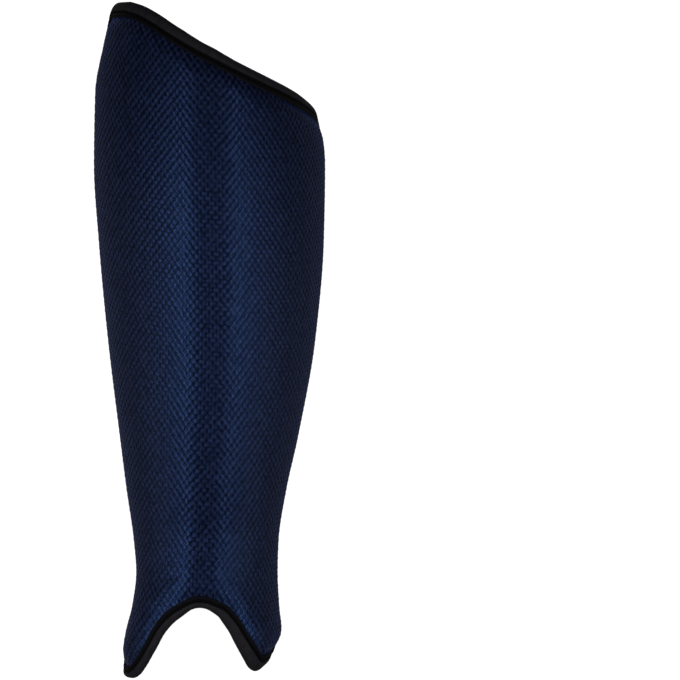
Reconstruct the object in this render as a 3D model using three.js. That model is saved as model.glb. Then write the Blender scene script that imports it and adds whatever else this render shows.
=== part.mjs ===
// Field hockey shin guard for the right leg: a padded wall faced with mesh fabric and bound in black tape.
// It lies on its two long edges with its front up.
// Millimetres: +X across, +Y to the knee, +Z out of the front.
// The origin is on the surface that it lies on, under the middle of its outline.
import * as THREE from "three";

const { clamp, degToRad, smoothstep } = THREE.MathUtils;

// Padding
const WALL = 8; // the pad's full thickness
const EDGE_WALL = 3.6; // its thickness where the tape grips it
const RIM_WALL = 1.8; // the flat of its rounded rim
const RIM_ROUND = 1.2; // how far in from the rim the rounding reaches
const EDGE_TAPER = 14; // how far in from the rim the pad reaches its full thickness

// Binding tape
const TAPE = 1; // thickness
const TAPE_WIDTH = { knee: 6.2, ankle: 3.8, edge: 4.6 }; // how far in from the rim it reaches on each face
const TAPE_RETURN = 8; // how far the end tapes turn past the corners, along the long edges
const FOLD_STEPS = 3; // steps in a quarter of the fold
const SEAM_GAP = 0.3; // clearance between separate pieces

// Cross-section: a narrow flat on the ridge, then four arcs a side: shoulder, flank, round side and skirt
const SHOULDER_SHARE = 0.5; // shoulder radius, as a share of that side's half width
const FLANK_SHARE = 0.38; // flank length, as a share of that side's half width
const SKIRT_RADIUS = 70; // the skirt curls in from the widest line down to the long edge
const LONG_EDGE_LIFT = 0.65; // height of the middle of a long edge, so low that the tape is pressed flat
const CORNER = 14; // radius of the four corners in the flat pattern

// The two sides. sign: which way it lies from the ridge;
// shoulderFall, flankFall: how steep the face is where its shoulder and its flank end
const SIDES = {
  outer: { name: "outer", sign: -1, shoulderFall: degToRad(25), flankFall: degToRad(40) },
  inner: { name: "inner", sign: 1, shoulderFall: degToRad(25), flankFall: degToRad(42) },
};
const UPRIGHT = Math.PI / 2; // the face's fall at the widest line

// The form along the leg, from the ankle to the knee. outer, inner: X of the widest lines;
// ridge: X of the ridge's middle; flat: half width of its flat top; crest: its height
const STATIONS = [
  { y: -165, outer: -42.6, inner: 22, ridge: -4.6, flat: 6, crest: 56 },
  { y: -148, outer: -41.4, inner: 31.2, ridge: -4.6, flat: 5.6, crest: 55 },
  { y: -137, outer: -39.4, inner: 34.5, ridge: -4.6, flat: 4.8, crest: 53.4 },
  { y: -126, outer: -36.6, inner: 33.4, ridge: -4.6, flat: 3.8, crest: 50.8 },
  { y: -110, outer: -34.7, inner: 33, ridge: -3.9, flat: 2.6, crest: 48.4 },
  { y: -95, outer: -35.9, inner: 33.4, ridge: -3.2, flat: 2.2, crest: 49.2 },
  { y: -71, outer: -39.4, inner: 36.9, ridge: -2, flat: 2.2, crest: 53.5 },
  { y: -47, outer: -42.5, inner: 42.4, ridge: -1, flat: 2.3, crest: 57.5 },
  { y: 0, outer: -48.4, inner: 51.1, ridge: 0.3, flat: 2.5, crest: 64 },
  { y: 47, outer: -52.8, inner: 55.2, ridge: 0, flat: 2.7, crest: 68.5 },
  { y: 83, outer: -55.1, inner: 55.7, ridge: -0.4, flat: 2.9, crest: 70 },
  { y: 118, outer: -54.5, inner: 50, ridge: 0, flat: 3, crest: 69.5 },
  { y: 142, outer: -50.5, inner: 46.8, ridge: 0, flat: 3, crest: 68 },
  { y: 165, outer: -46.5, inner: 43.8, ridge: 0, flat: 3, crest: 66 },
];

// The flat pattern's two ends. around: share of the way from the ridge to a long edge, outer side negative;
// knee, ankle: Y of the pad's rim there, before the corners are rounded
const ENDS = [
  { around: -1, knee: 132, ankle: -122 },
  { around: -0.86, knee: 155.5, ankle: -144.5 },
  { around: -0.72, knee: 159.2, ankle: -158 },
  { around: -0.57, knee: 159.2, ankle: -158.5 },
  { around: -0.5, knee: 158.4, ankle: -157.2 },
  { around: -0.43, knee: 157.1, ankle: -153.2 },
  { around: -0.36, knee: 154.9, ankle: -146.6 },
  { around: -0.29, knee: 152, ankle: -137.4 },
  { around: -0.22, knee: 148.5, ankle: -131.6 },
  { around: -0.155, knee: 145.3, ankle: -128.6 },
  { around: 0, knee: 137.7, ankle: -124.6 },
  { around: 0.155, knee: 130.6, ankle: -128.4 },
  { around: 0.22, knee: 128, ankle: -134.2 },
  { around: 0.29, knee: 125.4, ankle: -143.2 },
  { around: 0.36, knee: 123, ankle: -150.4 },
  { around: 0.43, knee: 120.8, ankle: -155 },
  { around: 0.5, knee: 118.8, ankle: -156.6 },
  { around: 0.57, knee: 116.9, ankle: -155.4 },
  { around: 0.72, knee: 113, ankle: -153.4 },
  { around: 0.86, knee: 110.4, ankle: -148 },
  { around: 1, knee: 109, ankle: -134 },
];

// Where the pad's mesh has its lines: shares of the way round, then distances in from each rim
const COLUMN_SHARES = [
  0.035, 0.07, 0.1, 0.13, 0.165, 0.22, 0.28, 0.34, 0.4, 0.46, 0.52, 0.58, 0.64, 0.7, 0.755,
];
const RIM_LINES = [EDGE_TAPER, 10, 6.8, 4.2, 2.4, RIM_ROUND, 0];
const MAX_SLANT = 2.2; // the most that a distance from the rim is stretched along a column
const MIDDLE_ROWS = 22;
const LONG_EDGE_STEPS = 26;
const END_PASSES = 12; // enough to settle where a column meets an end
const NORMAL_STEP = 0.05; // step of the differences that give the face's normal

const meshFabric = new THREE.MeshStandardMaterial({ color: 0x16213f, roughness: 0.75, metalness: 0 });
const bindingTape = new THREE.MeshStandardMaterial({ color: 0x141416, roughness: 0.7, metalness: 0 });

// Monotone cubic through one column of a table, against the table's key column
function along(table, key, column, at) {
  const last = table.length - 1;
  let i = 0;
  while (i < last - 1 && at > table[i + 1][key]) i += 1;
  const secant = (k) => (table[k + 1][column] - table[k][column]) / (table[k + 1][key] - table[k][key]);
  const slope = (k) => {
    if (k === 0) return secant(0);
    if (k === last) return secant(last - 1);
    const before = secant(k - 1);
    const after = secant(k);
    return before * after <= 0 ? 0 : (2 * before * after) / (before + after);
  };
  const span = table[i + 1][key] - table[i][key];
  const t = clamp((at - table[i][key]) / span, 0, 1);
  const rise = table[i + 1][column] - table[i][column];
  const start = slope(i) * span;
  const end = slope(i + 1) * span;
  return table[i][column] + t * (start + t * (3 * rise - 2 * start - end + t * (start + end - 2 * rise)));
}

// One side's arcs at a station, from the ridge down. from, to: how steep the face is at an arc's two ends
function sideArcs(y, side) {
  const at = (column) => along(STATIONS, "y", column, y);
  const { name, sign, shoulderFall, flankFall } = side;
  const half = sign * (at(name) - at("ridge"));
  const shoulder = SHOULDER_SHARE * half;
  const flank = (FLANK_SHARE * half) / (flankFall - shoulderFall);
  const shoulderOut = shoulder * Math.sin(shoulderFall);
  const flankOut = flank * (Math.sin(flankFall) - Math.sin(shoulderFall));
  const round = (half - at("flat") - shoulderOut - flankOut) / (1 - Math.sin(flankFall));
  const arcs = [
    { radius: shoulder, from: 0, to: shoulderFall },
    { radius: flank, from: shoulderFall, to: flankFall },
    { radius: round, from: flankFall, to: UPRIGHT },
  ];
  const drop = arcs.reduce((sum, { radius, from, to }) => sum + radius * (Math.cos(from) - Math.cos(to)), 0);
  const skirtTurn = Math.asin((at("crest") - drop - LONG_EDGE_LIFT) / (SKIRT_RADIUS - WALL / 2));
  return [...arcs, { radius: SKIRT_RADIUS, from: UPRIGHT, to: UPRIGHT + skirtTurn }];
}

// Distance round the face from the ridge to a long edge
function wholeWay(y, side) {
  const arcs = sideArcs(y, side);
  const flat = along(STATIONS, "y", "flat", y);
  return arcs.reduce((sum, { radius, from, to }) => sum + radius * (to - from), flat);
}

// A point of the front face at a signed distance round from the ridge
function facePoint(around, y) {
  const side = around < 0 ? SIDES.outer : SIDES.inner;
  const flat = along(STATIONS, "y", "flat", y);
  let out = Math.min(Math.abs(around), flat);
  let drop = 0;
  let left = Math.abs(around) - out;
  sideArcs(y, side).forEach(({ radius, from, to }, i, arcs) => {
    const isLast = i === arcs.length - 1;
    const turn = isLast ? left / radius : Math.min(left / radius, to - from);
    out += radius * (Math.sin(from + turn) - Math.sin(from));
    drop += radius * (Math.cos(from) - Math.cos(from + turn));
    left -= radius * turn;
  });
  const ridge = along(STATIONS, "y", "ridge", y);
  const crest = along(STATIONS, "y", "crest", y);
  return new THREE.Vector3(ridge + side.sign * out, y, crest - drop);
}

// A point of the pad: distance round from the ridge, Y, and height above the middle of the wall
function padPoint(around, y, height) {
  const across = facePoint(around + NORMAL_STEP, y).sub(facePoint(around - NORMAL_STEP, y));
  const lengthwise = facePoint(around, y + NORMAL_STEP).sub(facePoint(around, y - NORMAL_STEP));
  const normal = across.cross(lengthwise).normalize();
  return facePoint(around, y).addScaledVector(normal, height - WALL / 2);
}

// How far the rounded corner takes the pattern's end back, at a distance in from a long edge
function cornerCut(inset) {
  const near = clamp(1 - inset / CORNER, 0, 1);
  return CORNER * (1 - Math.sqrt(1 - near * near));
}

// Distance round of a column at Y. A column is a share of the way round, or an inset from a long edge
function columnAround({ side, share, inset }, y) {
  const whole = wholeWay(y, side);
  return side.sign * (share === undefined ? whole - inset : share * whole);
}

// Y where a column meets an end of the pattern
function columnEnd(column, end) {
  const outward = end === "knee" ? 1 : -1;
  let y = 0;
  for (let pass = 0; pass < END_PASSES; pass += 1) {
    const around = columnAround(column, y);
    const whole = wholeWay(y, column.side);
    y = along(ENDS, "around", end, around / whole) - outward * cornerCut(whole - Math.abs(around));
  }
  return y;
}

const columnsOf = (side) => [
  ...COLUMN_SHARES.map((share) => ({ side, share })),
  ...RIM_LINES.map((inset) => ({ side, inset })),
];
const ridgeColumn = { side: SIDES.inner, share: 0 };
const acrossPad = [...columnsOf(SIDES.outer).reverse(), ridgeColumn, ...columnsOf(SIDES.inner)];
const COLUMNS = acrossPad.map((column) => ({
  ...column,
  knee: columnEnd(column, "knee"),
  ankle: columnEnd(column, "ankle"),
}));
const outerEdge = COLUMNS[0];
const innerEdge = COLUMNS[COLUMNS.length - 1];

// The pattern's rim as flat points, (distance round, Y), in four stretches anticlockwise from the front
const rimPoint = (column, y) => new THREE.Vector2(columnAround(column, y), y);
const steps = (count, from, to) =>
  Array.from({ length: count + 1 }, (_, i) => from + ((to - from) * i) / count);
const longEdge = (column, from, to) => steps(LONG_EDGE_STEPS, from, to).map((y) => rimPoint(column, y));
const RIM = {
  knee: [...COLUMNS].reverse().map((column) => rimPoint(column, column.knee)),
  outer: longEdge(outerEdge, outerEdge.knee, outerEdge.ankle),
  ankle: COLUMNS.map((column) => rimPoint(column, column.ankle)),
  inner: longEdge(innerEdge, innerEdge.ankle, innerEdge.knee),
};
const RIM_LOOP = [...RIM.knee, ...RIM.outer.slice(1), ...RIM.ankle.slice(1), ...RIM.inner.slice(1, -1)];

// Shortest distance from a flat point to the rim
function rimDistance(point) {
  const distances = RIM_LOOP.map((from, i) => {
    const span = RIM_LOOP[(i + 1) % RIM_LOOP.length].clone().sub(from);
    const t = clamp(point.clone().sub(from).dot(span) / span.lengthSq(), 0, 1);
    return from.clone().addScaledVector(span, t).distanceTo(point);
  });
  return Math.min(...distances);
}

// Half the pad's thickness at a distance in from the rim
function halfWall(inset) {
  if (inset < RIM_ROUND) return (RIM_WALL + ((EDGE_WALL - RIM_WALL) * inset) / RIM_ROUND) / 2;
  return (EDGE_WALL + (WALL - EDGE_WALL) * smoothstep(inset, RIM_ROUND, EDGE_TAPER)) / 2;
}

// A closed solid through rings of equal count, with both end rings filled in by the same triangles
function loft(rings, endTriangles) {
  const count = rings[0].length;
  const index = [];
  for (let ring = 0; ring < rings.length - 1; ring += 1) {
    for (let i = 0; i < count; i += 1) {
      const [here, next] = [ring * count + i, ring * count + ((i + 1) % count)];
      index.push(here, next, next + count, here, next + count, here + count);
    }
  }
  const lastRing = (rings.length - 1) * count;
  endTriangles.forEach(([a, b, c]) => {
    index.push(c, b, a, lastRing + a, lastRing + b, lastRing + c);
  });
  const geometry = new THREE.BufferGeometry().setFromPoints(rings.flat());
  geometry.setIndex(index);
  geometry.computeVertexNormals();
  return geometry;
}

// How much longer a distance in from the rim is when it is measured along a column
function slant(i, end) {
  const near = COLUMNS[Math.max(i - 1, 0)];
  const far = COLUMNS[Math.min(i + 1, COLUMNS.length - 1)];
  const run = rimPoint(far, far[end]).sub(rimPoint(near, near[end]));
  return run.length() / Math.max(run.x, run.length() / MAX_SLANT);
}

// The pad: rings from the ankle end to the knee end, each out along the front face and back along the inside
function paddedShell() {
  const rows = COLUMNS.map((column, i) => {
    const low = [...RIM_LINES].reverse().map((inset) => column.ankle + inset * slant(i, "ankle"));
    const high = RIM_LINES.map((inset) => column.knee - inset * slant(i, "knee"));
    const middle = steps(MIDDLE_ROWS, low[low.length - 1], high[0]).slice(1, -1);
    return [...low, ...middle, ...high];
  });
  const rings = rows[0].map((_, row) => {
    const flatPoints = COLUMNS.map((column, i) => rimPoint(column, rows[i][row]));
    const face = (direction) =>
      flatPoints.map((point) => padPoint(point.x, point.y, direction * halfWall(rimDistance(point))));
    return [...face(1), ...face(-1).reverse()];
  });
  const last = 2 * COLUMNS.length - 1;
  const rimStrip = COLUMNS.slice(1).flatMap((_, i) => [
    [i, i + 1, last - i],
    [i + 1, last - i - 1, last - i],
  ]);
  return loft(rings, rimStrip);
}

// The tape's section: (distance in from the rim, height above the middle of the wall), folded round the rim
function tapeOutline(width) {
  const outside = SEAM_GAP + TAPE;
  const foldStart = RIM_ROUND - SEAM_GAP;
  const quarter = Math.PI / 2;
  const fold = steps(FOLD_STEPS, 0, quarter).map((turn) => [
    foldStart - (foldStart + outside) * Math.sin(turn),
    (EDGE_WALL / 2 + outside) * Math.cos(turn),
  ]);
  const front = [
    [-SEAM_GAP, RIM_WALL / 2],
    [foldStart, EDGE_WALL / 2 + SEAM_GAP],
    [width, halfWall(width) + SEAM_GAP],
    [width, halfWall(width) + outside],
    ...fold,
  ];
  const back = front.slice(0, -1).reverse();
  const pairs = [...front, ...back.map(([inset, height]) => [inset, -height])];
  return pairs.map(([inset, height]) => new THREE.Vector2(inset, height));
}

// A length of tape along a stretch of the rim, pressed flat where it meets the surface below
function tapeRun(path, width) {
  const outline = tapeOutline(width);
  const rings = path.map((point, i) => {
    const before = path[Math.max(i - 1, 0)];
    const after = path[Math.min(i + 1, path.length - 1)];
    const heading = after.clone().sub(before).normalize();
    const inward = new THREE.Vector2(-heading.y, heading.x);
    return outline.map(({ x: inset, y: height }) => {
      const placed = padPoint(point.x + inward.x * inset, point.y + inward.y * inset, height);
      placed.z = Math.max(placed.z, 0);
      return placed;
    });
  });
  return loft(rings, THREE.ShapeUtils.triangulateShape(outline, []));
}

// The end tapes run on past the corners, and the two edge tapes lie between them
const turnedEnd = (column, from, to) => [rimPoint(column, from), rimPoint(column, (from + to) / 2)];
const kneePath = [
  ...turnedEnd(innerEdge, innerEdge.knee - TAPE_RETURN, innerEdge.knee),
  ...RIM.knee,
  ...turnedEnd(outerEdge, outerEdge.knee - TAPE_RETURN, outerEdge.knee).reverse(),
];
const anklePath = [
  ...turnedEnd(outerEdge, outerEdge.ankle + TAPE_RETURN, outerEdge.ankle),
  ...RIM.ankle,
  ...turnedEnd(innerEdge, innerEdge.ankle + TAPE_RETURN, innerEdge.ankle).reverse(),
];
const clearOfEnds = TAPE_RETURN + SEAM_GAP;
const outerPath = longEdge(outerEdge, outerEdge.knee - clearOfEnds, outerEdge.ankle + clearOfEnds);
const innerPath = longEdge(innerEdge, innerEdge.ankle + clearOfEnds, innerEdge.knee - clearOfEnds);

function piece(name, geometry, material) {
  const mesh = new THREE.Mesh(geometry, material);
  mesh.name = name;
  return mesh;
}

const shinGuard = new THREE.Group();
shinGuard.add(
  piece("padded_shell", paddedShell(), meshFabric),
  piece("knee_binding", tapeRun(kneePath, TAPE_WIDTH.knee), bindingTape),
  piece("ankle_binding", tapeRun(anklePath, TAPE_WIDTH.ankle), bindingTape),
  piece("outer_edge_binding", tapeRun(outerPath, TAPE_WIDTH.edge), bindingTape),
  piece("inner_edge_binding", tapeRun(innerPath, TAPE_WIDTH.edge), bindingTape),
);

export default shinGuard;
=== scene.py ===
# Field hockey shin guard: a padded half-round wall faced with navy air mesh, its rim bound in black tape.
# It lies on its two long edges with its front up: +X across, +Y to the knee, +Z out of the front.
# The guard's own sizes are in millimetres, and the meshes are scaled to metres as they are made.
import math
import bpy
import numpy as np
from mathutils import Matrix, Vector, kdtree


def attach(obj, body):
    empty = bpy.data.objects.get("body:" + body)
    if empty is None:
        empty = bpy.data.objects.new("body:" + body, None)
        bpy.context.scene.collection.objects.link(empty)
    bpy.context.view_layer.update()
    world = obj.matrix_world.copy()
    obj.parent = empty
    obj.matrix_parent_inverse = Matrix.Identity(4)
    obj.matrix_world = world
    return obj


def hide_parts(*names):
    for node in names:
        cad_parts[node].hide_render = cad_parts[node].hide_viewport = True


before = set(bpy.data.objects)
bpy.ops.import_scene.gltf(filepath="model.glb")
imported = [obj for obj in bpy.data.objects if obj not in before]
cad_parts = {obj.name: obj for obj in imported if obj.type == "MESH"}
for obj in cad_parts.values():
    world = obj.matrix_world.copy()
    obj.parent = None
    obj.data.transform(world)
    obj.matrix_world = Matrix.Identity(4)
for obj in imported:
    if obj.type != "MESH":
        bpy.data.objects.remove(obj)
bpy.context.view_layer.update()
mm = 0.001


# Helpers for colours, nodes and meshes
def linearColour(hexCode):  # the sRGB curve
    channels = [int(hexCode[i:i + 2], 16) / 255 for i in (1, 3, 5)]
    curve = [c / 12.92 if c <= 0.04045 else ((c + 0.055) / 1.055) ** 2.4 for c in channels]
    return (*curve, 1.0)


def addNode(tree, kind, settings, links):
    node = tree.nodes.new(kind)
    for key, value in settings.items():
        if isinstance(key, str) and hasattr(node, key):
            setattr(node, key, value)
        else:
            node.inputs[key].default_value = value
    for socket, source in links.items():
        tree.links.new(source, node.inputs[socket])
    return node


# Sockets of a mix node, by place because their names repeat
mixFactor, mixFloatA, mixFloatB, mixColourA, mixColourB = 0, 2, 3, 6, 7
mixedColour = 2  # among the outputs


def newMaterial(name):
    material = bpy.data.materials.new(name)
    material.use_nodes = True
    material.node_tree.nodes.clear()
    return material, material.node_tree


def newPiece(name, points, faces, materials):
    mesh = bpy.data.meshes.new(name)
    mesh.from_pydata((np.asarray(points) * mm).tolist(), [], faces)
    mesh.polygons.foreach_set("use_smooth", np.ones(len(mesh.polygons), bool))
    for material in materials:
        mesh.materials.append(material)
    mesh.update()
    piece = bpy.data.objects.new(name, mesh)
    bpy.context.collection.objects.link(piece)
    return piece


def addLayer(piece, name, values):  # a number at each point, for the materials
    attribute = piece.data.attributes.new(name, "FLOAT", "POINT")
    attribute.data.foreach_set("value", values.astype(np.float32))


# The guard's form, the same as the solids have
guardForm = {
    "wall": 8, "edgeWall": 3.6, "rimWall": 1.8,  # mm thick in the middle, near the rim and at the rim
    "edgeTaper": 14, "rimRound": 1.2,  # mm in from the rim, where the full pad starts and the rounding ends
    "shoulderShare": 0.5, "flankShare": 0.38,  # shares of a side's half width
    "shoulderFall": {-1: 25, 1: 25}, "flankFall": {-1: 40, 1: 42},  # degrees, outer side -1, inner side 1
    "skirtRadius": 70, "longEdgeLift": 0.65, "corner": 14,  # mm
    "normalStep": 0.05, "endPasses": 14,  # mm, and the passes that settle the line of an end
}
stations = {  # mm along the leg: widest lines, middle of the ridge, half its flat, its height
    "y": [-165, -148, -137, -126, -110, -95, -71, -47, 0, 47, 83, 118, 142, 165],
    "outer": [-42.6, -41.4, -39.4, -36.6, -34.7, -35.9, -39.4, -42.5,
              -48.4, -52.8, -55.1, -54.5, -50.5, -46.5],
    "inner": [22, 31.2, 34.5, 33.4, 33, 33.4, 36.9, 42.4, 51.1, 55.2, 55.7, 50, 46.8, 43.8],
    "ridge": [-4.6, -4.6, -4.6, -4.6, -3.9, -3.2, -2, -1, 0.3, 0, -0.4, 0, 0, 0],
    "flat": [6, 5.6, 4.8, 3.8, 2.6, 2.2, 2.2, 2.3, 2.5, 2.7, 2.9, 3, 3, 3],
    "crest": [56, 55, 53.4, 50.8, 48.4, 49.2, 53.5, 57.5, 64, 68.5, 70, 69.5, 68, 66],
}
ends = {  # share of the way round, and Y of the rim at the knee and the ankle there
    "around": [-1, -0.86, -0.72, -0.57, -0.5, -0.43, -0.36, -0.29, -0.22, -0.155, 0,
               0.155, 0.22, 0.29, 0.36, 0.43, 0.5, 0.57, 0.72, 0.86, 1],
    "knee": [132, 155.5, 159.2, 159.2, 158.4, 157.1, 154.9, 152, 148.5, 145.3, 137.7,
             130.6, 128, 125.4, 123, 120.8, 118.8, 116.9, 113, 110.4, 109],
    "ankle": [-122, -144.5, -158, -158.5, -157.2, -153.2, -146.6, -137.4, -131.6, -128.6, -124.6,
              -128.4, -134.2, -143.2, -150.4, -155, -156.6, -155.4, -153.4, -148, -134],
}


def along(keys, values, at):  # monotone cubic through a table
    keys, values, at = (np.asarray(x, float) for x in (keys, values, at))
    secant = np.diff(values) / np.diff(keys)
    before, after = secant[:-1], secant[1:]
    rising = before * after > 0
    inner = np.where(rising, 2 * before * after / np.where(rising, before + after, 1), 0)
    slope = np.concatenate([secant[:1], inner, secant[-1:]])
    i = np.searchsorted(keys[1:-1], at)
    span = keys[i + 1] - keys[i]
    t = np.clip((at - keys[i]) / span, 0, 1)
    rise = values[i + 1] - values[i]
    start, end = slope[i] * span, slope[i + 1] * span
    return values[i] + t * (start + t * (3 * rise - 2 * start - end + t * (start + end - 2 * rise)))


def station(column, y):
    return along(stations["y"], stations[column], y)


def sideArcs(y, sign):  # half the flat, then each arc's radius and the face's fall at its two ends
    shoulderFall = math.radians(guardForm["shoulderFall"][sign])
    flankFall = math.radians(guardForm["flankFall"][sign])
    half = sign * (station("outer" if sign < 0 else "inner", y) - station("ridge", y))
    flat = station("flat", y)
    shoulder = guardForm["shoulderShare"] * half
    flank = guardForm["flankShare"] * half / (flankFall - shoulderFall)
    reached = shoulder * math.sin(shoulderFall) + flank * (math.sin(flankFall) - math.sin(shoulderFall))
    side = (half - flat - reached) / (1 - math.sin(flankFall))
    upright = math.pi / 2
    arcs = [(shoulder, 0, shoulderFall), (flank, shoulderFall, flankFall), (side, flankFall, upright)]
    drop = sum(radius * (math.cos(a) - math.cos(b)) for radius, a, b in arcs)
    skirtReach = guardForm["skirtRadius"] - guardForm["wall"] / 2
    skirtTurn = np.arcsin((station("crest", y) - drop - guardForm["longEdgeLift"]) / skirtReach)
    skirt = (np.full_like(half, guardForm["skirtRadius"]), upright, upright + skirtTurn)
    return flat, [*arcs, skirt]


def wholeWay(around, y):  # distance round from the ridge to the long edge on that side
    total = np.zeros_like(y)
    for sign, here in ((-1, around < 0), (1, around >= 0)):
        flat, arcs = sideArcs(y[here], sign)
        total[here] = flat + sum(radius * (b - a) for radius, a, b in arcs)
    return total


def facePoint(around, y):
    points = np.zeros((len(around), 3))
    for sign, here in ((-1, around < 0), (1, around >= 0)):
        distance, level = np.abs(around[here]), y[here]
        flat, arcs = sideArcs(level, sign)
        out = np.minimum(distance, flat)
        left = distance - out
        drop = np.zeros_like(left)
        for i, (radius, a, b) in enumerate(arcs):
            turn = left / radius if i == len(arcs) - 1 else np.minimum(left / radius, b - a)
            out = out + radius * (np.sin(a + turn) - np.sin(a))
            drop = drop + radius * (np.cos(a) - np.cos(a + turn))
            left = left - radius * turn
        x = station("ridge", level) + sign * out
        points[here] = np.stack([x, level, station("crest", level) - drop], -1)
    return points


def faceNormal(around, y):
    step = guardForm["normalStep"]
    across = facePoint(around + step, y) - facePoint(around - step, y)
    lengthwise = facePoint(around, y + step) - facePoint(around, y - step)
    normal = np.cross(across, lengthwise)
    return normal / np.linalg.norm(normal, axis=1, keepdims=True)


def padPoint(around, y, height):  # height is above the middle of the wall
    lift = np.asarray(height) - guardForm["wall"] / 2
    return facePoint(around, y) + faceNormal(around, y) * lift[:, None]


def halfWall(inset):
    form = guardForm
    rounded = form["rimWall"] + (form["edgeWall"] - form["rimWall"]) * inset / form["rimRound"]
    t = np.clip((inset - form["rimRound"]) / (form["edgeTaper"] - form["rimRound"]), 0, 1)
    padded = form["edgeWall"] + (form["wall"] - form["edgeWall"]) * t * t * (3 - 2 * t)
    return np.where(inset < form["rimRound"], rounded, padded) / 2


def endLine(around, y, end):  # Y of the rim at that end, for points of the flat pattern
    whole = wholeWay(around, y)
    near = np.clip(1 - (whole - np.abs(around)) / guardForm["corner"], 0, 1)
    cut = guardForm["corner"] * (1 - np.sqrt(1 - near * near))
    return along(ends["around"], ends[end], around / whole) - (cut if end == "knee" else -cut)


# The rim of the flat pattern, anticlockwise from the knee end's inner corner
rimStep = 0.25  # mm between points of the rim
rimPoints = {
    "middleShare": 0.8, "middle": 401,  # share of the way round to each side, and points across both
    "cornerShare": 0.2, "corner": 60,  # the rest of the way round to each side, and points in it
    "longEdge": 200,
    "heading": 2,  # points of the finished rim to each side that give its heading
}


def endRun(end):  # from the outer corner to the inner one
    middleShare = rimPoints["middleShare"]
    middle = np.linspace(-middleShare, middleShare, rimPoints["middle"])
    turn = np.sin(np.linspace(0, math.pi / 2, rimPoints["corner"]))  # closer together at the steep corner
    corner = middleShare + rimPoints["cornerShare"] * turn[1:]
    share = np.concatenate([-corner[::-1], middle, corner])
    y = np.zeros_like(share)
    for _ in range(guardForm["endPasses"]):
        around = share * wholeWay(share, y)
        y = endLine(around, y, end)
    return np.stack([share * wholeWay(share, y), y], -1)


def edgeRun(sign, start, stop):
    y = np.linspace(start, stop, rimPoints["longEdge"])
    side = np.full_like(y, sign)
    return np.stack([sign * wholeWay(side, y), y], -1)


def spaced(line, step):  # the same line with points that far apart
    reach = np.concatenate([[0], np.cumsum(np.linalg.norm(np.diff(line, axis=0), axis=1))])
    at = np.linspace(0, reach[-1], max(2, round(reach[-1] / step) + 1))
    return np.stack([np.interp(at, reach, line[:, k]) for k in range(line.shape[1])], -1)


kneeRun = endRun("knee")[::-1]
ankleRun = endRun("ankle")
outerRun = edgeRun(-1, kneeRun[-1, 1], ankleRun[0, 1])
innerRun = edgeRun(1, ankleRun[-1, 1], kneeRun[0, 1])
rimRuns = [spaced(run, rimStep) for run in (kneeRun, outerRun, ankleRun, innerRun)]
rim = np.concatenate([run[:-1] for run in rimRuns])
rimTree = kdtree.KDTree(len(rim))
for rimIndex, (rimAround, rimY) in enumerate(rim):
    rimTree.insert((rimAround, rimY, 0), rimIndex)
rimTree.balance()
runStarts = np.cumsum([0] + [len(run) - 1 for run in rimRuns])  # where each run starts in the rim
print("rim:", len(rim), "points,", round(len(rim) * rimStep), "mm round")

tapeReach = {  # mm in from the rim that the tape covers, against the share of the way round at each end
    "knee": {"share": [-1, -0.85, 0.85, 1], "reach": [4.6, 6.2, 6.2, 4.6]},
    "ankle": {"share": [-1, -0.8, -0.1, 0.1, 0.25, 0.4, 0.7, 1],
              "reach": [4.6, 4.2, 3.8, 4.0, 5.6, 6.8, 6.2, 4.6]},
}


def reachAlong(run, end):
    share = run[:, 0] / wholeWay(run[:, 0], run[:, 1])
    return along(tapeReach[end]["share"], tapeReach[end]["reach"], share)


runEnds = ("knee", "knee", "ankle", "ankle")  # a long edge has the reach that both ends have at their corners
rimReach = np.concatenate([reachAlong(run[:-1], end) for run, end in zip(rimRuns, runEnds)])


def rimDistance(around, y):  # distances to the rim, and the nearest of its points
    found = [rimTree.find((a, b, 0)) for a, b in zip(around, y)]
    return np.array([f[2] for f in found]), np.array([f[1] for f in found])


# Polyester air mesh, warp knitted: navy threads round rows of dark open cells, with a soft blue glint
airMesh = {
    "pitchAcross": 3.4, "pitchAlong": 4.3,  # mm, one repeat, with an open cell at its corners and its middle
    "rowDrop": 0.088, "rowBow": 0.0015,  # the rows drop to the right, and curve up towards both sides
    "lean": 0.1, "leanWidth": 27, "leanReach": 40,  # share, mm and mm: falling and climbing ribs take turns
    "threadDark": "#03050e", "threadLight": "#181e37", "cellDark": "#01030b",
    "cellFrom": -0.4, "cellTo": 0.8, "cellLeast": 0.45,  # where a cell starts and is full, and the faintest
    "strandsPerRib": 2.0, "strandUneven": 0.45,  # strands of thread in a rib, and how much they differ
    "topRiseAndHighlight": 0.27, "litFrom": 0.4, "litTo": 1.12,  # how thread tops stand up and are painted lighter as a highlight, and from dark to light
    "wander": 0.5, "wanderSize": 2.4, "wanderDetail": 1.0,  # mm, how far threads stray, and over what length
    "loopSize": 0.6, "loopDetail": 3.0, "loopBump": 0.15,  # mm, loops in the thread, and how high they stand
    "bumpStrength": 0.8, "roughness": 0.23, "cellRoughness": 0.36, "specular": 0.16, "glint": "#6ca0ff",
    "sheen": 0.3, "sheenRoughness": 0.3, "sheenColour": "#5c86ff",
}


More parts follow.
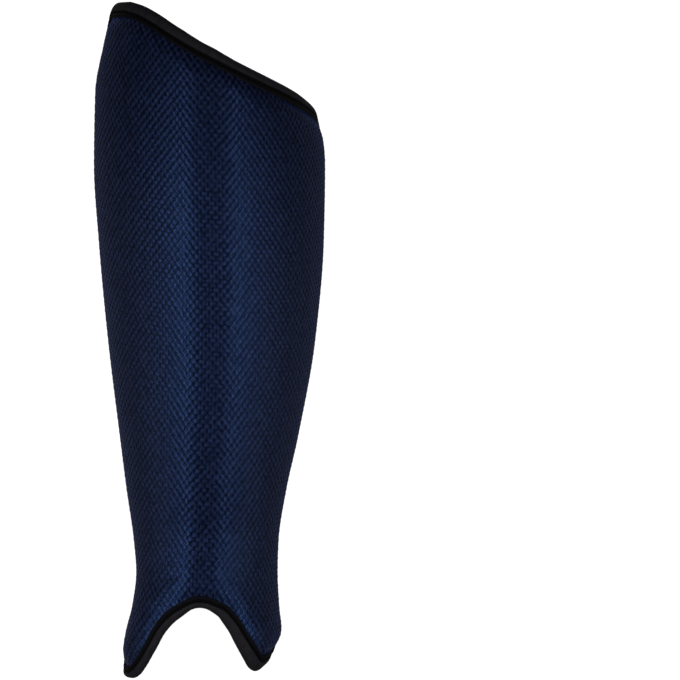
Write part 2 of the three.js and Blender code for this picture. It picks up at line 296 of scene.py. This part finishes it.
def airMeshMaterial(spec):
    material, tree = newMaterial("navy_polyester_air_mesh_knitted")
    across = addNode(tree, "ShaderNodeAttribute", {"attribute_name": "knitAcross"}, {})
    lengthwise = addNode(tree, "ShaderNodeAttribute", {"attribute_name": "knitAlong"}, {})
    flat = addNode(tree, "ShaderNodeCombineXYZ", {},
                   {"X": across.outputs["Fac"], "Y": lengthwise.outputs["Fac"]})
    stray = addNode(tree, "ShaderNodeTexNoise",
                    {"Scale": 1 / spec["wanderSize"], "Detail": spec["wanderDetail"]},
                    {"Vector": flat.outputs[0]})
    centred = addNode(tree, "ShaderNodeVectorMath", {"operation": "SUBTRACT", 1: (0.5, 0.5, 0.5)},
                      {0: stray.outputs["Color"]})
    shift = addNode(tree, "ShaderNodeVectorMath", {"operation": "SCALE", "Scale": spec["wander"]},
                    {0: centred.outputs[0]})
    place = addNode(tree, "ShaderNodeVectorMath", {"operation": "ADD"},
                    {0: flat.outputs[0], 1: shift.outputs[0]})
    ribs, waves = [], []
    for slant in (1, -1):  # ribs that fall and ribs that climb to the right
        pitches = (1 / spec["pitchAcross"], slant / spec["pitchAlong"], 0)
        count = addNode(tree, "ShaderNodeVectorMath", {"operation": "DOT_PRODUCT", 1: pitches},
                        {0: place.outputs[0]})
        turn = addNode(tree, "ShaderNodeMath", {"operation": "MULTIPLY", 1: 2 * math.pi},
                       {0: count.outputs["Value"]})
        ribs.append(count)
        waves.append(addNode(tree, "ShaderNodeMath", {"operation": "COSINE"}, {0: turn.outputs[0]}))
    reach, turnsOver = spec["leanReach"], math.pi / spec["leanWidth"]
    side = addNode(tree, "ShaderNodeMapRange",
                   {"From Min": -reach, "From Max": reach,
                    "To Min": -reach * turnsOver, "To Max": reach * turnsOver},
                   {"Value": across.outputs["Fac"]})
    sway = addNode(tree, "ShaderNodeMath", {"operation": "SINE"}, {0: side.outputs[0]})
    weight = addNode(tree, "ShaderNodeMath", {"operation": "MULTIPLY_ADD", 1: spec["lean"] / 2, 2: 0.5},
                     {0: sway.outputs[0]})
    knit = addNode(tree, "ShaderNodeMix", {"data_type": "FLOAT"},
                   {mixFactor: weight.outputs[0], mixFloatA: waves[0].outputs[0],
                    mixFloatB: waves[1].outputs[0]})
    rows, strands = [], []
    for count in ribs:
        rows.append(addNode(tree, "ShaderNodeMath", {"operation": "ROUND"}, {0: count.outputs["Value"]}))
        split = addNode(tree, "ShaderNodeMath", {"operation": "MULTIPLY", 1: spec["strandsPerRib"]},
                        {0: count.outputs["Value"]})
        strands.append(addNode(tree, "ShaderNodeMath", {"operation": "ROUND"}, {0: split.outputs[0]}))
    chances = []
    for pair in (rows, strands):  # one chance for each cell, and one for each strand
        spot = addNode(tree, "ShaderNodeCombineXYZ", {}, {"X": pair[0].outputs[0], "Y": pair[1].outputs[0]})
        chances.append(addNode(tree, "ShaderNodeTexWhiteNoise", {"noise_dimensions": "2D"},
                               {"Vector": spot.outputs[0]}))
    deep = addNode(tree, "ShaderNodeMapRange", {"To Min": spec["cellLeast"]},
                   {"Value": chances[0].outputs["Value"]})
    cellEdge = addNode(tree, "ShaderNodeMapRange",
                       {"interpolation_type": "SMOOTHSTEP", "From Min": spec["cellFrom"],
                        "From Max": spec["cellTo"]}, {"Value": knit.outputs[0]})
    cell = addNode(tree, "ShaderNodeMath", {"operation": "MULTIPLY"},
                   {0: cellEdge.outputs[0], 1: deep.outputs[0]})
    loops = addNode(tree, "ShaderNodeTexNoise", {"Scale": 1 / spec["loopSize"], "Detail": spec["loopDetail"]},
                    {"Vector": flat.outputs[0]})
    uneven = addNode(tree, "ShaderNodeMath", {"operation": "MULTIPLY_ADD", 1: spec["strandUneven"]},
                     {0: chances[1].outputs["Value"], 2: loops.outputs["Fac"]})
    # painted highlight: thread tops get a lighter colour and stand up in the bump; strands and loops vary the
    # tone at random
    toneAndHighlight = addNode(tree, "ShaderNodeMath", {"operation": "MULTIPLY_ADD", 1: -spec["topRiseAndHighlight"]},
                  {0: knit.outputs[0], 2: uneven.outputs[0]})
    spread = addNode(tree, "ShaderNodeMapRange", {"From Min": spec["litFrom"], "From Max": spec["litTo"]},
                     {"Value": toneAndHighlight.outputs[0]})
    thread = addNode(tree, "ShaderNodeMix",
                     {"data_type": "RGBA", mixColourA: linearColour(spec["threadDark"]),
                      mixColourB: linearColour(spec["threadLight"])}, {mixFactor: spread.outputs[0]})
    colour = addNode(tree, "ShaderNodeMix", {"data_type": "RGBA", mixColourB: linearColour(spec["cellDark"])},
                     {mixFactor: cell.outputs[0], mixColourA: thread.outputs[mixedColour]})
    rough = addNode(tree, "ShaderNodeMapRange",
                    {"To Min": spec["roughness"], "To Max": spec["cellRoughness"]},
                    {"Value": cell.outputs[0]})
    height = addNode(tree, "ShaderNodeMath", {"operation": "SUBTRACT"},
                     {0: toneAndHighlight.outputs[0], 1: cell.outputs[0]})
    bump = addNode(tree, "ShaderNodeBump",
                   {"Strength": spec["bumpStrength"], "Distance": spec["loopBump"] * mm},
                   {"Height": height.outputs[0]})
    shader = addNode(tree, "ShaderNodeBsdfPrincipled",
                     {"Specular IOR Level": spec["specular"], "Specular Tint": linearColour(spec["glint"]),
                      "Sheen Weight": spec["sheen"], "Sheen Roughness": spec["sheenRoughness"],
                      "Sheen Tint": linearColour(spec["sheenColour"])},
                     {"Base Color": colour.outputs[mixedColour], "Roughness": rough.outputs[0],
                      "Normal": bump.outputs[0]})
    addNode(tree, "ShaderNodeOutputMaterial", {}, {"Surface": shader.outputs[0]})
    return material


# Polyester tricot, warp knitted: the plain inside, dull and close, with fine ribs along the leg
tricot = {
    "colour": "#2a3358", "ribDark": "#1c2340", "roughness": 0.8, "specular": 0.15,
    "rib": 1.2, "ribBump": 0.15, "bumpStrength": 0.3,  # mm, with the ribs drawn coarser to show
}


def tricotMaterial(spec):
    material, tree = newMaterial("navy_polyester_tricot_knitted")
    across = addNode(tree, "ShaderNodeAttribute", {"attribute_name": "knitAcross"}, {})
    turn = addNode(tree, "ShaderNodeMath", {"operation": "MULTIPLY", 1: 2 * math.pi / spec["rib"]},
                   {0: across.outputs["Fac"]})
    wave = addNode(tree, "ShaderNodeMath", {"operation": "COSINE"}, {0: turn.outputs[0]})
    share = addNode(tree, "ShaderNodeMapRange", {"From Min": -1.0, "From Max": 1.0},
                    {"Value": wave.outputs[0]})
    colour = addNode(tree, "ShaderNodeMix",
                     {"data_type": "RGBA", mixColourA: linearColour(spec["ribDark"]),
                      mixColourB: linearColour(spec["colour"])}, {mixFactor: share.outputs[0]})
    bump = addNode(tree, "ShaderNodeBump",
                   {"Strength": spec["bumpStrength"], "Distance": spec["ribBump"] * mm},
                   {"Height": share.outputs[0]})
    shader = addNode(tree, "ShaderNodeBsdfPrincipled",
                     {"Roughness": spec["roughness"], "Specular IOR Level": spec["specular"]},
                     {"Base Color": colour.outputs[mixedColour], "Normal": bump.outputs[0]})
    addNode(tree, "ShaderNodeOutputMaterial", {}, {"Surface": shader.outputs[0]})
    return material


# Padded wall: the knit's open cells are pressed into the front face, and the inside is plain
paddedWall = {
    "gridAcross": 110, "gridAlong": 210,  # mm that the grid reaches each way, past the rim
    "stepsPerRepeat": 4,  # grid steps in one repeat of the knit, so that each cell has a point at its middle
    "insideCoarser": 2,  # how much longer the steps are on the inside
    "cellDepth": 0.28, "threadRise": 0.13,  # mm
    "rimInset": 0.8,  # mm, where the two faces meet inside the tape
    "fadeIn": 2.5,  # mm past the tape's edge that the relief takes to grow
    "furrow": 0.6, "furrowWidth": 2.0,  # mm, the cover is drawn down beside the tape
}


def rowShift(around, knit):  # how far down a row of the knit lies, against the same row at the ridge
    return knit["rowDrop"] * around - knit["rowBow"] * around ** 2


def outsideLoop(quads):  # the grid's outside points in order
    edges = np.concatenate([quads[:, [k, (k + 1) % 4]] for k in range(4)])
    forward = {tuple(edge) for edge in edges.tolist()}
    after = {a: b for a, b in forward if (b, a) not in forward}
    start = min(after)
    loop = [start]
    while after[loop[-1]] != start:
        loop.append(after[loop[-1]])
    if len(loop) != len(after):
        raise ValueError("the pattern's edge isn't one loop")
    return np.array(loop)


def patternGrid(stepAcross, stepAlong, spec, knit):  # cells of the flat pattern, drawn out to the rim
    columns = math.ceil(spec["gridAcross"] / stepAcross)
    rows = math.ceil(spec["gridAlong"] / stepAlong)
    i, j = np.meshgrid(np.arange(-columns, columns + 1), np.arange(-rows, rows + 1), indexing="ij")
    around = (i * stepAcross).ravel()
    y = (j * stepAlong).ravel() - rowShift(around, knit)
    inside = np.abs(around) < wholeWay(around, y)
    inside &= (y < endLine(around, y, "knee")) & (y > endLine(around, y, "ankle"))
    inset = np.zeros_like(y)
    nearestRim = np.zeros(len(y), int)
    inset[inside], nearestRim[inside] = rimDistance(around[inside], y[inside])
    kept = (inset > spec["rimInset"]).reshape(i.shape)
    cells = kept[:-1, :-1] & kept[1:, :-1] & kept[:-1, 1:] & kept[1:, 1:]
    index = np.arange(len(y)).reshape(i.shape)
    corners = [index[:-1, :-1], index[1:, :-1], index[1:, 1:], index[:-1, 1:]]
    quads = np.stack([corner[cells] for corner in corners], -1)
    used = np.unique(quads)
    renumber = np.full(len(y), -1)
    renumber[used] = np.arange(len(used))
    quads = renumber[quads]
    around, y, inset, nearestRim = around[used], y[used], inset[used], nearestRim[used]
    loop = outsideLoop(quads)
    onRim = rim[nearestRim[loop]]
    inward = np.stack([around[loop], y[loop]], -1) - onRim
    inward /= np.linalg.norm(inward, axis=1, keepdims=True)
    around[loop], y[loop] = (onRim + inward * spec["rimInset"]).T
    inset[loop] = spec["rimInset"]
    return around, y, inset, quads, loop, nearestRim


def zipLoops(loopA, placeA, loopB, placeB, whole):  # triangles between two loops that run the same way round
    def fromStart(loop, place):
        turned = np.argmin(place)
        place = np.roll(place, -turned)
        return np.roll(loop, -turned), np.append(np.maximum.accumulate(place), place[0] + whole)
    loopA, placeA = fromStart(loopA, placeA)
    loopB, placeB = fromStart(loopB, placeB)
    a, b = 0, 0
    faces = []
    while a < len(loopA) or b < len(loopB):
        hereA, hereB = int(loopA[a % len(loopA)]), int(loopB[b % len(loopB)])
        takeA = b == len(loopB) or (a < len(loopA) and placeA[a + 1] <= placeB[b + 1])
        if takeA:
            faces.append((hereB, int(loopA[(a + 1) % len(loopA)]), hereA))
            a += 1
        else:
            faces.append((hereB, int(loopB[(b + 1) % len(loopB)]), hereA))
            b += 1
    return faces


def furrowDepth(pastTape, spec):
    return spec["furrow"] * np.exp(-(pastTape / spec["furrowWidth"]) ** 2)


def buildPaddedWall(spec, knit, cover, inside):
    stepAcross = knit["pitchAcross"] / spec["stepsPerRepeat"]
    stepAlong = knit["pitchAlong"] / spec["stepsPerRepeat"]
    around, y, inset, quads, loop, nearest = patternGrid(stepAcross, stepAlong, spec, knit)
    turnsAcross = around / knit["pitchAcross"]
    turnsAlong = (y + rowShift(around, knit)) / knit["pitchAlong"]
    reach = knit["leanReach"]
    lean = knit["lean"] * np.sin(math.pi * np.clip(around, -reach, reach) / knit["leanWidth"])
    wave = (1 - lean) / 2 * np.cos(2 * math.pi * (turnsAcross + turnsAlong))
    wave += (1 + lean) / 2 * np.cos(2 * math.pi * (turnsAcross - turnsAlong))
    relief = np.where(wave > 0, -spec["cellDepth"] * wave, -spec["threadRise"] * wave)
    pastTape = inset - rimReach[nearest]
    relief *= np.clip(pastTape / spec["fadeIn"], 0, 1)
    relief -= furrowDepth(pastTape, spec)
    front = padPoint(around, y, halfWall(inset) + relief)
    coarse = spec["insideCoarser"]
    insideGrid = patternGrid(stepAcross * coarse, stepAlong * coarse, spec, knit)
    aroundIn, yIn, insetIn, quadsIn, loopIn, nearestIn = insideGrid
    furrowIn = furrowDepth(insetIn - rimReach[nearestIn], spec)
    back = padPoint(aroundIn, yIn, furrowIn - halfWall(insetIn))
    offset = len(front)
    strip = zipLoops(loop, nearest[loop], loopIn + offset, nearestIn[loopIn], len(rim))
    faces = quads.tolist() + (quadsIn[:, ::-1] + offset).tolist() + strip
    piece = newPiece("padded_wall", np.concatenate([front, back]), faces, [cover, inside])
    slots = np.zeros(len(faces), np.int32)
    slots[len(quads):len(quads) + len(quadsIn)] = 1
    piece.data.polygons.foreach_set("material_index", slots)
    allAround = np.concatenate([around, aroundIn])
    addLayer(piece, "knitAcross", allAround)
    addLayer(piece, "knitAlong", np.concatenate([y, yIn]) + rowShift(allAround, knit))
    print("padded wall:", len(quads) * 2 + len(quadsIn) * 2 + len(strip), "triangles")
    return piece


# Polyester binding tape, woven with ribs across: dull black, with painted shade in the groove and on the lip
bindingWeave = {
    "rib": 0.95, "fuzz": 0.6, "blotch": 3.2,  # mm
    "fuzzDetail": 4.0, "blotchDetail": 2.0,
    "ribShare": 0.3,  # how much the ribs count beside the fuzz
    "shadeFrom": 0.75, "shadeTo": 1.45,  # the range that runs from dark to light
    # the last colour is near black, painted shade for the stitched groove and the lip
    "ribLight": "#1f1e22", "ribDark": "#121114", "paintedShade": "#020203",
    "ribBump": 0.2, "bumpStrength": 0.4,  # mm
    "roughness": 0.7, "specular": 0.03, "sheen": 0.025, "sheenRoughness": 0.4,
}


def tapeMaterial(spec):
    material, tree = newMaterial("black_polyester_tape_woven")
    lengthwise = addNode(tree, "ShaderNodeAttribute", {"attribute_name": "tapeAlong"}, {})
    across = addNode(tree, "ShaderNodeAttribute", {"attribute_name": "tapeAcross"}, {})
    paintedLitShare = addNode(tree, "ShaderNodeAttribute", {"attribute_name": "tapePaintedLit"}, {})
    place = addNode(tree, "ShaderNodeCombineXYZ", {},
                    {"X": across.outputs["Fac"], "Y": lengthwise.outputs["Fac"]})
    turn = addNode(tree, "ShaderNodeMath", {"operation": "MULTIPLY", 1: 2 * math.pi / spec["rib"]},
                   {0: lengthwise.outputs["Fac"]})
    wave = addNode(tree, "ShaderNodeMath", {"operation": "COSINE"}, {0: turn.outputs[0]})
    ribs = addNode(tree, "ShaderNodeMapRange", {"From Min": -1.0, "From Max": 1.0},
                   {"Value": wave.outputs[0]})
    fuzz = addNode(tree, "ShaderNodeTexNoise", {"Scale": 1 / spec["fuzz"], "Detail": spec["fuzzDetail"]},
                   {"Vector": place.outputs[0]})
    blotch = addNode(tree, "ShaderNodeTexNoise",
                     {"Scale": 1 / spec["blotch"], "Detail": spec["blotchDetail"]},
                     {"Vector": place.outputs[0]})
    mixed = addNode(tree, "ShaderNodeMath", {"operation": "MULTIPLY_ADD", 1: spec["ribShare"]},
                    {0: ribs.outputs[0], 2: fuzz.outputs["Fac"]})
    uneven = addNode(tree, "ShaderNodeMath", {"operation": "ADD"},
                     {0: mixed.outputs[0], 1: blotch.outputs["Fac"]})
    share = addNode(tree, "ShaderNodeMapRange", {"From Min": spec["shadeFrom"], "From Max": spec["shadeTo"]},
                    {"Value": uneven.outputs[0]})
    cloth = addNode(tree, "ShaderNodeMix",
                    {"data_type": "RGBA", mixColourA: linearColour(spec["ribDark"]),
                     mixColourB: linearColour(spec["ribLight"])}, {mixFactor: share.outputs[0]})
    # painted shade: where the share of lit colour is low, in the groove and on the lip, the cloth turns near
    # black
    colour = addNode(tree, "ShaderNodeMix", {"data_type": "RGBA", mixColourA: linearColour(spec["paintedShade"])},
                     {mixFactor: paintedLitShare.outputs["Fac"], mixColourB: cloth.outputs[mixedColour]})
    bump = addNode(tree, "ShaderNodeBump",
                   {"Strength": spec["bumpStrength"], "Distance": spec["ribBump"] * mm},
                   {"Height": mixed.outputs[0]})
    shader = addNode(tree, "ShaderNodeBsdfPrincipled",
                     {"Roughness": spec["roughness"], "Specular IOR Level": spec["specular"],
                      "Sheen Weight": spec["sheen"], "Sheen Roughness": spec["sheenRoughness"]},
                     {"Base Color": colour.outputs[mixedColour], "Normal": bump.outputs[0]})
    addNode(tree, "ShaderNodeOutputMaterial", {}, {"Surface": shader.outputs[0]})
    return material


# Binding tape: folded over the rim, sewn through in a groove, with a lip inside the stitches
bindingTape = {
    "thick": 1.1, "fold": 1.3,  # mm, standing proud of the pad, and outside the rim
    "lip": 2.2, "grooveHalf": 0.8, "crownRound": 0.4,  # mm, edge to stitches, half the groove, up to the fold
    "lipShape": [(0, -0.5), (0.12, 0.2), (0.05, 0.44), (-0.3, 0.64), (-0.7, 0.7)],  # mm out, share of thick
    "grooveShape": [(1, 0.62), (0.55, 0.22), (0, 0.1), (-0.55, 0.24), (-1, 0.88)],  # shares of half, of thick
    # share of the lit cloth colour in each part; the rest is painted shade, darkest in the groove
    "foldSteps": 7, "paintedLit": {"lip": 0.17, "groove": 0.0, "fold": 1.0},
    "inside": [(0.45, 0), (0.6, 1.0), (1.2, 1.85)],  # mm in from the rim and off the middle of the wall
    "clearance": 0.03,  # mm, the tape's underside off the pad beneath the stitches
    "step": 0.75, "turned": 8, "gap": 0.1,  # mm along the tape, past the corners, and between lengths
    "pucker": 0.14,  # mm, the tape rises a little between stitches
}
stitch = {
    "pitch": 3.0, "length": 2.3, "width": 0.5, "rise": 0.18, "dive": 0.2,  # mm
    "seat": 0.16,  # share of the tape's thickness that the thread lies above the pad
    "taper": [(-1, 0.45), (-0.8, 0.85), (-0.4, 1), (0, 1), (0.4, 1), (0.8, 0.85), (1, 0.45)],  # along, thick
    "divePower": 3, "sides": 6,
}


def rimPath(at):  # points of the rim at distances along it, their inward headings and the tape's reach there
    index = np.asarray(at) / rimStep
    low = np.floor(index).astype(int)
    high = low + 1
    share = (index - low)[:, None]
    here, after = rim[low % len(rim)], rim[high % len(rim)]
    heading = rim[(high + rimPoints["heading"]) % len(rim)] - rim[(low - rimPoints["heading"]) % len(rim)]
    heading /= np.linalg.norm(heading, axis=1, keepdims=True)
    reach = (1 - share[:, 0]) * rimReach[low % len(rim)] + share[:, 0] * rimReach[high % len(rim)]
    return here + (after - here) * share, np.stack([-heading[:, 1], heading[:, 0]], -1), reach


def otherFace(rows):  # the same rows of a section on the wall's inside
    return [(inset, -height, pucker, paintedLit) for inset, height, pucker, paintedLit in rows]


def tapeSection(reach, spec):  # insets, heights off the middle of the wall, pucker, and share of lit colour against painted shade, round the section
    groove = reach - spec["lip"]
    crown = groove - spec["grooveHalf"] - spec["crownRound"]
    thick, paintedLits = spec["thick"], spec["paintedLit"]
    rows = []
    for out, share in spec["lipShape"]:
        at = reach + out
        rows.append((at, halfWall(at) + share * thick, max(share, 0), paintedLits["lip"]))
    for out, share in spec["grooveShape"]:
        at = groove + out * spec["grooveHalf"]
        rows.append((at, halfWall(at) + share * thick, 0, paintedLits["groove" if abs(out) < 1 else "lip"]))
    top = halfWall(crown) + thick
    for turn in np.linspace(0, math.pi / 2, spec["foldSteps"]):
        fold = (crown - (crown + spec["fold"]) * math.sin(turn), top * math.cos(turn))
        rows.append((*fold, math.cos(turn), paintedLits["fold"]))
    under = []
    for inset, height in spec["inside"]:
        under.append((np.full_like(reach, inset), np.full_like(reach, height), 0, 0))
    under.append((groove, halfWall(groove) + spec["clearance"], 0, 0))
    section = rows + otherFace(rows[-2::-1]) + otherFace(under[:0:-1]) + under
    return [np.stack(np.broadcast_arrays(*column), -1) for column in zip(*section)]


def buildTape(name, start, stop, spec, material):
    distance = np.linspace(start, stop, round((stop - start) / spec["step"]) + 1)
    line, inward, reach = rimPath(distance)
    inset, height, pucker, paintedLit = tapeSection(reach, spec)
    count = inset.shape[1]
    wave = np.cos(2 * math.pi * distance / stitch["pitch"]) / 2
    height = height - np.sign(height) * spec["pucker"] * wave[:, None] * pucker
    flat = line[:, None] + inward[:, None] * inset[:, :, None]
    points = padPoint(flat[..., 0].ravel(), flat[..., 1].ravel(), height.ravel())
    points[:, 2] = np.maximum(points[:, 2], 0)  # pressed flat where it lies
    here = np.arange(count)
    after = (here + 1) % count
    ring = np.stack([here, after, after + count, here + count], -1)
    faces = (ring[None] + count * np.arange(len(distance) - 1)[:, None, None]).reshape(-1, 4).tolist()
    faces += [here[::-1].tolist(), (here + count * (len(distance) - 1)).tolist()]
    piece = newPiece(name, points, faces, [material])
    acrossTape = np.concatenate([[0], np.cumsum(np.hypot(np.diff(inset[0]), np.diff(height[0])))])
    addLayer(piece, "tapeAlong", np.repeat(distance, count))
    addLayer(piece, "tapeAcross", np.tile(acrossTape, len(distance)))
    # share of lit colour: low values paint shade into the groove and onto the lip
    addLayer(piece, "tapePaintedLit", np.tile(paintedLit, len(distance)))
    print(name + ":", len(distance), "rings of", count)
    return piece


# Polyester sewing thread, twisted: black with a faint gloss, so that each stitch catches a little light
sewingThread = {
    "colour": "#060607", "twistDark": "#020202", "roughness": 0.6, "specular": 0.05,
    "twist": 0.5,  # mm
}


def threadMaterial(spec):
    material, tree = newMaterial("black_polyester_thread_twisted")
    lengthwise = addNode(tree, "ShaderNodeAttribute", {"attribute_name": "threadAlong"}, {})
    turn = addNode(tree, "ShaderNodeMath", {"operation": "MULTIPLY", 1: 2 * math.pi / spec["twist"]},
                   {0: lengthwise.outputs["Fac"]})
    wave = addNode(tree, "ShaderNodeMath", {"operation": "SINE"}, {0: turn.outputs[0]})
    share = addNode(tree, "ShaderNodeMapRange", {"From Min": -1.0, "From Max": 1.0},
                    {"Value": wave.outputs[0]})
    colour = addNode(tree, "ShaderNodeMix",
                     {"data_type": "RGBA", mixColourA: linearColour(spec["twistDark"]),
                      mixColourB: linearColour(spec["colour"])}, {mixFactor: share.outputs[0]})
    shader = addNode(tree, "ShaderNodeBsdfPrincipled",
                     {"Roughness": spec["roughness"], "Specular IOR Level": spec["specular"]},
                     {"Base Color": colour.outputs[mixedColour]})
    addNode(tree, "ShaderNodeOutputMaterial", {}, {"Surface": shader.outputs[0]})
    return material


def buildStitches(spec, tape, material):  # one joined mesh, a row in the groove of each face
    whole = len(rim) * rimStep
    total = round(whole / spec["pitch"])
    middle = np.arange(total) * whole / total
    lengthShare, thickness = np.array(spec["taper"]).T
    sides, rings = spec["sides"], len(lengthShare)
    angle = np.arange(sides) * 2 * math.pi / sides
    alongRim = (middle[:, None] + lengthShare * spec["length"] / 2).ravel()
    line, inward, reach = rimPath(alongRim)
    groove = reach - tape["lip"]
    seat = halfWall(groove) + spec["seat"] * tape["thick"] + spec["rise"] / 2
    seat -= np.tile(spec["dive"] * np.abs(lengthShare) ** spec["divePower"], total)
    size = np.tile(thickness, total)[:, None]
    inset = groove[:, None] + size * spec["width"] / 2 * np.cos(angle)
    rise = size * spec["rise"] * np.sin(angle)
    flat = line[:, None] + inward[:, None] * inset[:, :, None]
    here = np.arange(sides)
    after = (here + 1) % sides
    quads = np.concatenate([np.stack([here, after, after + sides, here + sides], -1) + sides * k
                            for k in range(rings - 1)])
    caps = np.stack([here[::-1], here + sides * (rings - 1)])
    points, faces = [], []
    for face in (1, -1):
        height = face * (seat[:, None] + rise).ravel()
        points.append(padPoint(flat[..., 0].ravel(), flat[..., 1].ravel(), height))
        for k in range(total):
            base = (k + (0 if face > 0 else total)) * sides * rings
            faces += (quads[:, ::-face] + base).tolist() + (caps[:, ::-face] + base).tolist()
    points = np.concatenate(points)
    points[:, 2] = np.maximum(points[:, 2], 0)
    piece = newPiece("binding_stitches", points, faces, [material])
    addLayer(piece, "threadAlong", np.tile(np.repeat(alongRim, sides), 2))
    print("stitches:", 2 * total)
    return piece


# Stage, light and camera
studio = {
    "photoWidth": 321.9, "photoCentre": 61.9, "focusHeight": 30,  # mm, width and middle at a height
    "lens": 1000, "sensor": 36, "clipEnd": 100,  # mm, mm and m
    "worldColour": "#ffffff", "worldStrength": 0.12,
    "boxLength": 360, "boxWidth": 150, "boxSpread": 80,  # mm, mm and degrees
    "floorHalf": 3000, "floorTop": -0.2,  # mm, half a side, and just below the guard
    "floorColour": "#626262", "floorRoughness": 0.9, "floorSpecular": 0.1,
    "glowColour": "#ffffff", "floorGlow": 1.0,
}
softboxes = {  # watts, mm away, degrees off the vertical, degrees round from +X, and the Y in mm aimed at
    "left_softbox": {"power": 0.56, "away": 600, "off": 39, "compass": 190, "aim": 0},
    "right_softbox": {"power": 0.46, "away": 600, "off": 42, "compass": -8, "aim": 0},
    "top_softbox": {"power": 0.06, "away": 600, "off": 15, "compass": 90, "aim": -110},
    "low_left_softbox": {"power": 0.07, "away": 450, "off": 76, "compass": 186, "aim": -120},
    "low_right_softbox": {"power": 0.08, "away": 450, "off": 76, "compass": -6, "aim": -120},
}


def floorMaterial(spec):  # matt paper: a plain grey to the guard, and glowing white to the camera
    material, tree = newMaterial("white_paper_backdrop_matt")
    seen = addNode(tree, "ShaderNodeLightPath", {}, {})
    glow = addNode(tree, "ShaderNodeMath", {"operation": "MULTIPLY", 1: spec["floorGlow"]},
                   {0: seen.outputs["Is Camera Ray"]})
    shader = addNode(tree, "ShaderNodeBsdfPrincipled",
                     {"Base Color": linearColour(spec["floorColour"]), "Roughness": spec["floorRoughness"],
                      "Specular IOR Level": spec["floorSpecular"],
                      "Emission Color": linearColour(spec["glowColour"])},
                     {"Emission Strength": glow.outputs[0]})
    addNode(tree, "ShaderNodeOutputMaterial", {}, {"Surface": shader.outputs[0]})
    return material


def buildStudio(spec, boxes):
    scene = bpy.context.scene
    scene.view_settings.view_transform = "Standard"
    lens = bpy.data.cameras.new("camera")
    lens.lens = spec["lens"]
    lens.sensor_width = spec["sensor"]
    lens.clip_end = spec["clipEnd"]
    camera = bpy.data.objects.new("camera", lens)
    away = spec["photoWidth"] * spec["lens"] / spec["sensor"] + spec["focusHeight"]
    camera.location = (spec["photoCentre"] * mm, 0, away * mm)
    scene.collection.objects.link(camera)
    scene.camera = camera
    world = bpy.data.worlds.new("studio")
    world.use_nodes = True
    background = world.node_tree.nodes["Background"]
    background.inputs["Color"].default_value = linearColour(spec["worldColour"])
    background.inputs["Strength"].default_value = spec["worldStrength"]
    scene.world = world
    for name, box in boxes.items():
        light = bpy.data.lights.new(name, "AREA")
        light.shape = "RECTANGLE"
        light.size = spec["boxLength"] * mm  # level, so it runs along the leg in the boxes at the sides
        light.size_y = spec["boxWidth"] * mm
        light.energy = box["power"]
        light.spread = math.radians(spec["boxSpread"])
        off, compass = math.radians(box["off"]), math.radians(box["compass"])
        level = math.sin(off)
        direction = Vector((level * math.cos(compass), level * math.sin(compass), math.cos(off)))
        lamp = bpy.data.objects.new(name, light)
        lamp.location = (direction * box["away"] + Vector((0, box["aim"], 0))) * mm
        lamp.visible_camera = False
        lamp.rotation_euler = direction.to_track_quat("Z", "Y").to_euler()
        scene.collection.objects.link(lamp)
    half, top = spec["floorHalf"], spec["floorTop"]
    corners = [(-half, -half, top), (half, -half, top), (half, half, top), (-half, half, top)]
    floor = newPiece("floor", corners, [(0, 1, 2, 3)], [floorMaterial(spec)])
    print("studio: camera", round(away * mm, 2), "m up")


buildStudio(studio, softboxes)
wallPiece = buildPaddedWall(paddedWall, airMesh, airMeshMaterial(airMesh), tricotMaterial(tricot))
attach(wallPiece, "root")
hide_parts("padded_shell")

tapeCloth = tapeMaterial(bindingWeave)
turned = bindingTape["turned"]
clear = turned + bindingTape["gap"]
kneeStart, outerStart, ankleStart, innerStart, rimEnd = runStarts * rimStep
lengths = {  # mm along the rim
    "knee_binding": (kneeStart - turned, outerStart + turned),
    "outer_edge_binding": (outerStart + clear, ankleStart - clear),
    "ankle_binding": (ankleStart - turned, innerStart + turned),
    "inner_edge_binding": (innerStart + clear, rimEnd - clear),
}
for node, (start, stop) in lengths.items():
    tape = buildTape(node + "_tape", start, stop, bindingTape, tapeCloth)
    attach(tape, "root")
    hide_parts(node)
stitches = buildStitches(stitch, bindingTape, threadMaterial(sewingThread))
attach(stitches, "root")
